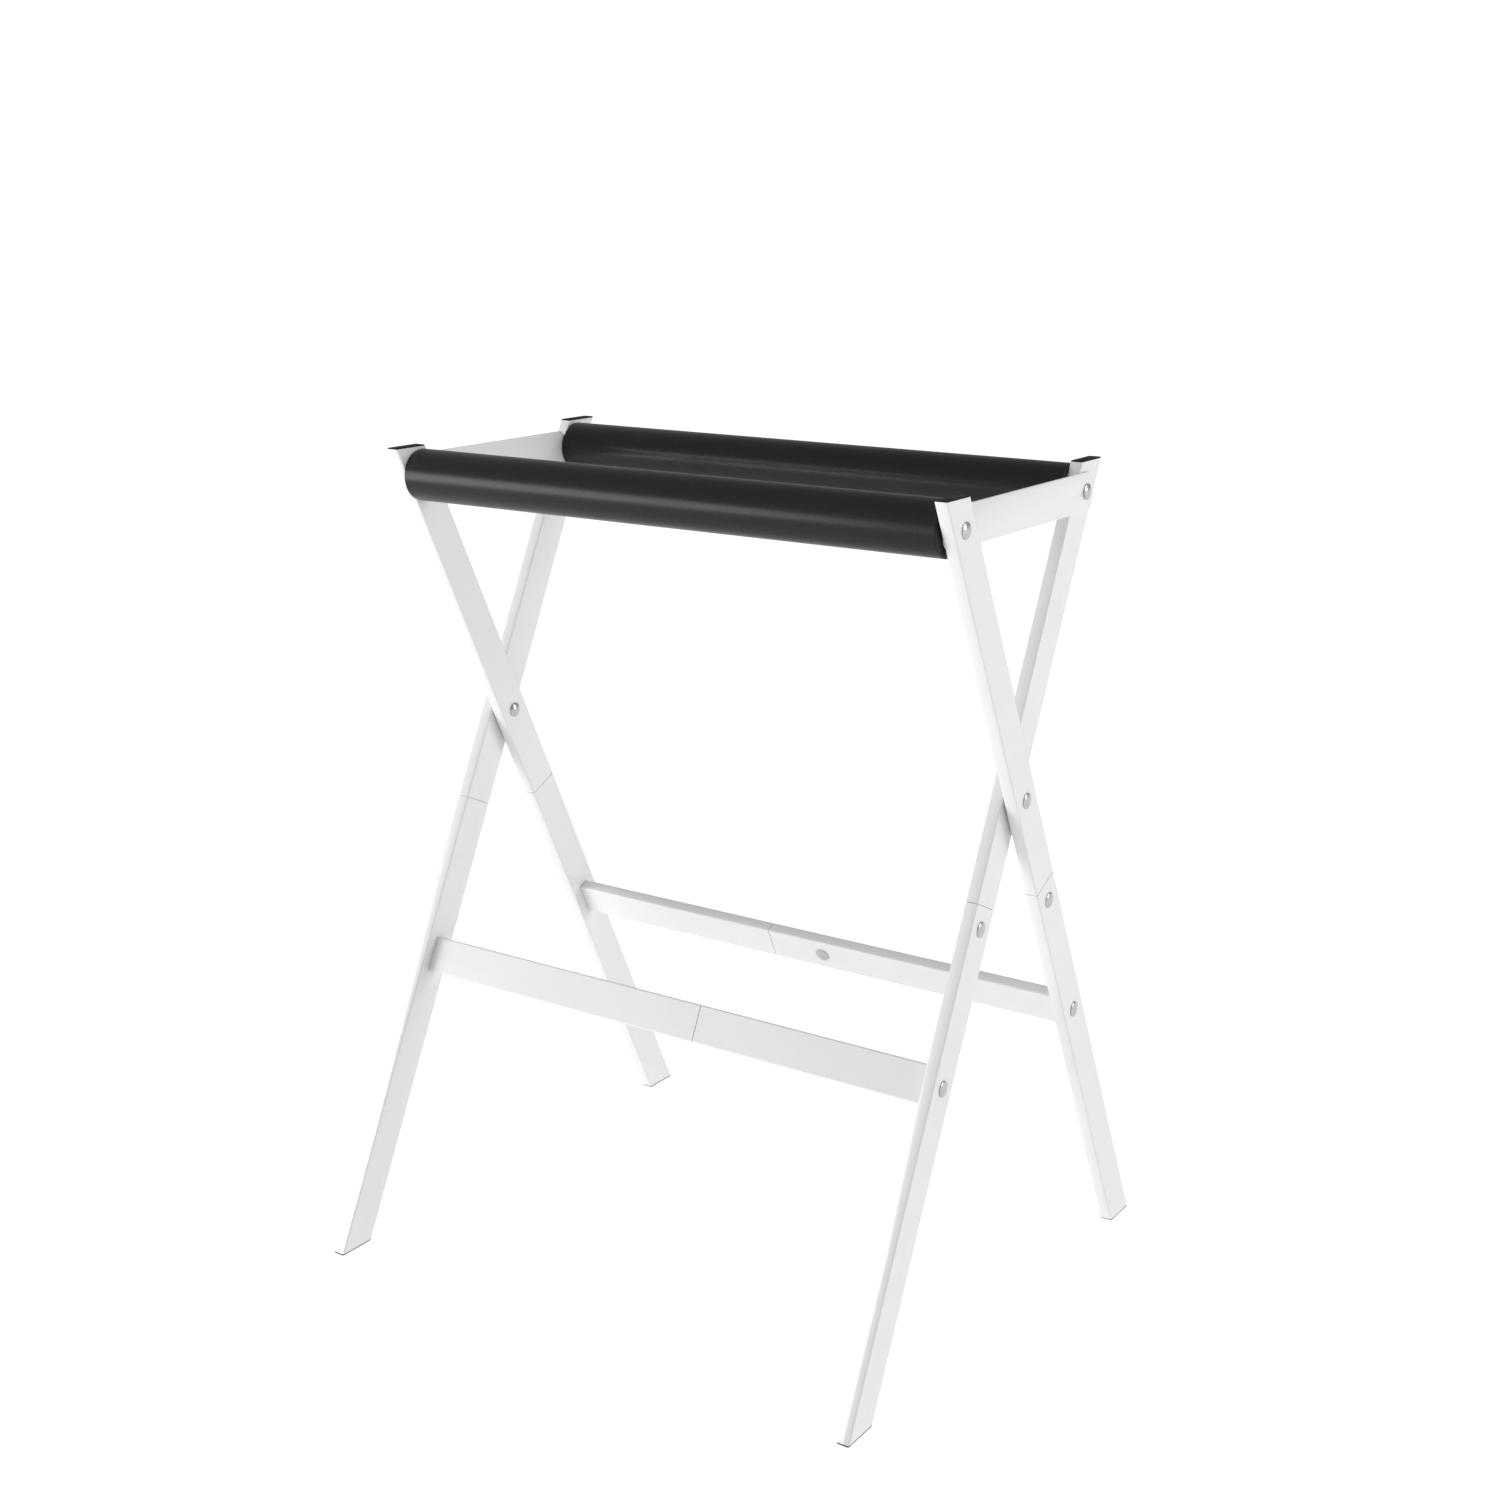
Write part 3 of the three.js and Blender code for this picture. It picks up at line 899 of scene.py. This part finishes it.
@dataclass
class Fittings:
    """Bolts, cap nuts, washers and hook bushes."""

    assembler: Assembler
    head_radius: float = 9 * MM
    head_height: float = 2.6 * MM
    nut_height: float = 4 * MM
    rim: float = 0.7 * MM
    tip: float = 1 * MM
    nut_crown: float = 1.6 * MM
    dome_steps: int = 8
    sides: int = 64
    small_bolt: float = 4 * MM
    pivot_bolt: float = 5 * MM
    bore_gap: float = 0.3 * MM
    eased: float = 0.2 * MM
    eased_degrees: float = 50
    ring_eased: float = 0.3 * MM
    smooth_degrees: float = 38

    def build(self) -> list[bpy.types.Object]:
        """Builds every fitting of both frames.

        Returns:
            The finished fittings.
        """
        out, into, front = ALONG, -ALONG, Vector((0, -1, 0))
        bolts = [
            ("a_leg_bolt_right", "{letter}_leg_bolt_{outer}", out, self.small_bolt),
            ("a_leg_bolt_left", "{letter}_leg_bolt_{inner}", into, self.small_bolt),
            ("a_stretcher_bolt_right", "{letter}_stretcher_bolt_{outer}", out, self.small_bolt),
            ("a_stretcher_bolt_left", "{letter}_stretcher_bolt_{inner}", into, self.small_bolt),
            ("a_rail_bolt_right", "{letter}_rail_bolt_{outer}", out, self.small_bolt),
            ("a_rail_bolt_left", "{letter}_rail_bolt_{inner}", into, self.small_bolt),
            ("a_sleeve_bolt", "{letter}_sleeve_bolt", front, self.small_bolt),
            ("pivot_bolt_right", "pivot_bolt_{outer}", out, self.pivot_bolt),
        ]
        pieces = []
        for node, pattern, facing, shank in bolts:
            pieces += self.set_in(node, pattern, facing, self.bolt(node, facing, shank))
        pieces += self.set_in("pivot_cap_nut_right", "pivot_cap_nut_{outer}", into, self.cap_nut())
        for what, bore in (("pivot_washer", self.pivot_bolt), ("hook_bush", self.small_bolt)):
            node = what + "_right"
            pieces += self.set_in(node, what + "_{outer}", out, self.ring(node, bore + self.bore_gap))
        return pieces

    def set_in(
        self, node: str, pattern: str, facing: Vector, master: bpy.types.Object
    ) -> list[bpy.types.Object]:
        """Fits a piece that was made with its crown at the origin and looking up.

        Args:
            node: Frame A's CAD node.
            pattern: The node's name in either frame.
            facing: The way its crown looks, in frame A's own axes.
            master: The piece.

        Returns:
            The two fitted pieces.
        """
        low, high = self.assembler.axes.span(node)
        crown = (low + high) / 2
        for i, way in enumerate(facing):
            if way:
                crown[i] = high[i] if way > 0 else low[i]
        turn = facing.to_track_quat("Z", "Y").to_matrix().to_4x4()
        place = self.assembler.axes.to_world @ Matrix.Translation(crown) @ turn
        return self.assembler.fit(master, pattern, Slot.ZINC_STEEL, place)

    def raise_dome(self, piece: Workpiece, height: float) -> None:
        """Raises a dome on the selected flat top, in rings that follow a sphere.

        Args:
            piece: The head, with its flat top selected.
            height: The height of the dome over its rim.
        """
        sphere = (self.head_radius**2 + height**2) / (2 * height)
        half = math.asin(self.head_radius / sphere)
        angles = [half * (1 - i / self.dome_steps) for i in range(self.dome_steps)]
        for now, after in zip(angles, angles[1:]):
            inwards = sphere * (math.sin(now) - math.sin(after))
            piece.inset(inwards, sphere * (math.cos(after) - math.cos(now)))

    def bolt(self, node: str, facing: Vector, shank: float) -> bpy.types.Object:
        """A bolt with a low domed head, its crown at the origin and its shank down.

        Args:
            node: The CAD node that gives its length.
            facing: The way its crown looks.
            shank: The shank's radius.

        Returns:
            The bolt.
        """
        low, high = self.assembler.axes.span(node)
        length = abs((high - low).dot(facing))
        seat = -self.head_height
        piece = Workpiece.rod(node, self.head_radius, seat, seat + self.rim, self.sides)
        piece.pick_sides(UP)
        self.raise_dome(piece, self.head_height - self.rim)
        piece.pick_sides(-UP)
        piece.inset(self.head_radius - shank)
        piece.pull(-UP * (length - self.head_height - self.tip))
        piece.inset(self.tip, self.tip)
        piece.ease(self.eased, 2, self.eased_degrees)
        return piece.finish(self.smooth_degrees)

    def cap_nut(self) -> bpy.types.Object:
        """The domed nut on the pivot bolt's end, its bore open below.

        Returns:
            The nut, its crown at the origin.
        """
        seat = -self.nut_height
        piece = Workpiece.rod("cap_nut", self.head_radius, seat, seat + self.rim, self.sides)
        piece.pick_sides(UP)
        self.raise_dome(piece, self.nut_height - self.rim)
        piece.pick_sides(-UP)
        piece.inset(self.head_radius - self.pivot_bolt - self.bore_gap)
        piece.pull(UP * (self.nut_height - self.nut_crown))
        piece.ease(self.eased, 2, self.eased_degrees)
        return piece.finish(self.smooth_degrees)

    def ring(self, node: str, bore: float) -> bpy.types.Object:
        """A flat ring round a bolt.

        Args:
            node: The CAD node that gives its size.
            bore: The radius of its hole.

        Returns:
            The ring, its upper face at the origin.
        """
        low, high = self.assembler.axes.span(node)
        radius = (high.y - low.y) / 2
        piece = Workpiece.rod(node, radius, low.x - high.x, 0, self.sides)
        piece.bore_through((UP, -UP), radius - bore)
        piece.ease(self.ring_eased)
        return piece.finish()


@dataclass
class EndBars:
    """The flat end bars, each round at its pivot and notched where it hooks on the other frame's bush."""

    assembler: Assembler
    eased: float = 0.35 * MM

    def build(self) -> list[bpy.types.Object]:
        """Builds both bars.

        Returns:
            The left and the right bar.
        """
        bar = Workpiece.copy_of("end_bar", "end_bar_left")
        bar.ease(self.eased, 3)
        place = Matrix.Identity(4)
        return self.assembler.fit(bar.finish(), "end_bar_{inner}", Slot.WHITE_PAINT, place, "bar_{inner}")


@dataclass
class HiddenFittings:
    """The CAD nodes that stay as they are inside the tubes, given their finish."""

    finishes: dict[Slot, bpy.types.Material]

    def dress(self) -> list[bpy.types.Object]:
        """Gives each node that still shows the bright zinc.

        Returns:
            The dressed nodes.
        """
        shown = [node for node in frame["nodes"].values() if not node.hide_render]
        for node in shown:
            node.data.materials.clear()
            node.data.materials.append(self.finishes[Slot.ZINC_STEEL])
        return shown


# ---------------------------------------------------------------- studio


@dataclass
class Studio:
    """A pale floor, soft light all round, two large soft lamps and the camera."""

    height: float
    azimuth: float = 33.954
    elevation: float = 14.348
    distance: float = 2.6128
    aim_right: float = 0.01326
    aim_up: float = 0.17838
    lens: float = 51.03
    sensor: float = 36
    shift: float = -0.0243
    far_limit: float = 200
    floor_half: float = 30
    floor_drop: float = 0.5 * MM
    floor_paint: float = 0.35
    floor_roughness: float = 0.9
    floor_specular: float = 0.1
    floor_glow: float = 0.92
    floor_bounce: float = 0.74
    backdrop: float = 1.06
    side_sky: float = 0.4
    zenith: float = 0.38
    sky_change: tuple[float, float] = (0.1, 0.8)
    key_azimuth: float = -42.5
    key_height: float = 0.86
    key_distance: float = 4.5
    key_size: tuple[float, float] = (3.4, 1.65)
    key_power: float = 111
    strip_azimuth: float = 116
    strip_height: float = 3.6
    strip_distance: float = 8
    strip_size: tuple[float, float] = (3.2, 5.4)
    strip_power: float = 240

    def around(self, azimuth: float, elevation: float) -> Vector:
        """The way from the stand to a place round it.

        Args:
            azimuth: The place's angle from the front towards the right, in degrees.
            elevation: Its angle above the floor, in degrees.

        Returns:
            A vector of length one.
        """
        turn, tilt = math.radians(azimuth), math.radians(elevation)
        flat = Vector((math.sin(turn), -math.cos(turn), 0)) * math.cos(tilt)
        return flat + UP * math.sin(tilt)

    def camera(self) -> bpy.types.Object:
        """Adds the camera.

        Returns:
            The camera, set as the scene's own.
        """
        back = self.around(self.azimuth, self.elevation)
        right = UP.cross(back).normalized()
        upward = back.cross(right)
        aim = self.height * (UP / 2 + right * self.aim_right + upward * self.aim_up)
        bpy.ops.object.camera_add(location=aim + back * self.distance * self.height)
        camera = bpy.context.active_object
        camera.rotation_mode = "QUATERNION"
        camera.rotation_quaternion = back.to_track_quat("Z", "Y")
        camera.data.lens = self.lens
        camera.data.sensor_width = self.sensor
        camera.data.shift_y = self.shift
        camera.data.clip_end = self.far_limit
        bpy.context.scene.camera = camera
        return camera

    @staticmethod
    def seen_or_mirrored(tree: bpy.types.NodeTree, seen: float) -> bpy.types.Node:
        """Adds a strength that is brighter where it is seen directly than as a light on the stand.

        Args:
            tree: The node tree of the world or the floor.
            seen: The strength that is seen directly.

        Returns:
            The mix node, whose first value is the strength as a light.
        """
        mix = tree.nodes.new("ShaderNodeMix")
        mix.inputs["B"].default_value = seen
        path = tree.nodes.new("ShaderNodeLightPath")
        tree.links.new(path.outputs["Is Camera Ray"], mix.inputs["Factor"])
        return mix

    def floor(self, level: float) -> bpy.types.Object:
        """Adds the floor just under the feet.

        Args:
            level: The height of the feet.

        Returns:
            The floor.
        """
        place = UP * (level - self.floor_drop)
        bpy.ops.mesh.primitive_plane_add(size=2 * self.floor_half, location=place)
        floor = bpy.context.active_object
        floor.name = "pale_floor"
        graph = Graph("pale_floor")
        grey = self.floor_paint
        graph.shader.inputs["Base Color"].default_value = (grey, grey, grey, 1)
        graph.shader.inputs["Emission Color"].default_value = (1, 1, 1, 1)
        graph.set(Roughness=self.floor_roughness, Specular_IOR_Level=self.floor_specular)
        seen = self.seen_or_mirrored(graph.tree, self.floor_glow)
        seen.inputs["A"].default_value = self.floor_bounce
        graph.link(seen.outputs["Result"], graph.shader.inputs["Emission Strength"])
        floor.data.materials.append(graph.material)
        floor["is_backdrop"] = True
        return floor

    def sky(self) -> None:
        """Gives the world a white backdrop, and a dim studio to whatever the stand mirrors."""
        world = bpy.data.worlds.new("soft_studio")
        world.use_nodes = True
        bpy.context.scene.world = world
        tree = world.node_tree
        background = tree.nodes["Background"]
        place = tree.nodes.new("ShaderNodeTexCoord").outputs["Generated"]
        split = tree.nodes.new("ShaderNodeSeparateXYZ")
        fall = tree.nodes.new("ShaderNodeMapRange")
        fall.interpolation_type = "SMOOTHSTEP"
        fall.inputs["From Min"].default_value, fall.inputs["From Max"].default_value = self.sky_change
        fall.inputs["To Min"].default_value = self.side_sky
        fall.inputs["To Max"].default_value = self.zenith
        seen = self.seen_or_mirrored(tree, self.backdrop)
        tree.links.new(place, split.inputs["Vector"])
        tree.links.new(split.outputs["Z"], fall.inputs["Value"])
        tree.links.new(fall.outputs["Result"], seen.inputs["A"])
        tree.links.new(seen.outputs["Result"], background.inputs["Strength"])
        background.inputs["Color"].default_value = (1, 1, 1, 1)

    def lamp(self, name: str, azimuth: float, height: float, distance: float) -> bpy.types.Object:
        """Adds one soft lamp that looks at the stand.

        Args:
            name: The lamp's name.
            azimuth: Where it stands, in degrees.
            height: The height of its middle.
            distance: Its distance from the stand's middle.

        Returns:
            The lamp.
        """
        place = self.around(azimuth, 0) * distance + UP * height
        bpy.ops.object.light_add(type="AREA", location=place)
        lamp = bpy.context.active_object
        lamp.name = name
        lamp.rotation_mode = "QUATERNION"
        lamp.rotation_quaternion = self.around(azimuth, 0).to_track_quat("Z", "Y")
        lamp.data.shape = "RECTANGLE"
        lamp.visible_camera = False
        return lamp

    def lamps(self) -> None:
        """Adds a wide, low lamp at the front left and a tall one farther off at the right."""
        key = self.lamp("soft_key", self.key_azimuth, self.key_height, self.key_distance)
        key.data.size, key.data.size_y = self.key_size
        key.data.energy = self.key_power
        strip = self.lamp("tall_strip", self.strip_azimuth, self.strip_height, self.strip_distance)
        strip.data.size, strip.data.size_y = self.strip_size
        strip.data.energy = self.strip_power

    def build(self, level: float) -> None:
        """Sets up the whole studio round the stand.

        Args:
            level: The height of the feet.
        """
        scene = bpy.context.scene
        scene.view_settings.view_transform = "Standard"
        scene.view_settings.look = "None"
        self.camera()
        self.floor(level)
        self.sky()
        self.lamps()


# ---------------------------------------------------------------- the whole stand


def main() -> None:
    """Builds the stand's looks and the studio, and reports each piece."""
    logging.basicConfig(level=logging.INFO, format="%(name)s: %(message)s")
    cad_low, cad_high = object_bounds()
    finishes = make_finishes()
    assembler = Assembler(LeaningAxes.from_joints(frame["joints"]), finishes)
    tube = TubeForm()
    sub_assemblies = (
        Legs(assembler, tube),
        Rails(assembler),
        Stretchers(assembler, tube),
        Fittings(assembler),
        EndBars(assembler),
    )
    for sub_assembly in sub_assemblies:
        for piece in sub_assembly.build():
            log.info("%s: %d faces", piece.name, len(piece.data.polygons))
    for node in HiddenFittings(finishes).dress():
        log.info("%s stays as it is", node.name)
    Studio(height=cad_high.z).build(cad_low.z)


if __name__ == "__main__":
    main()
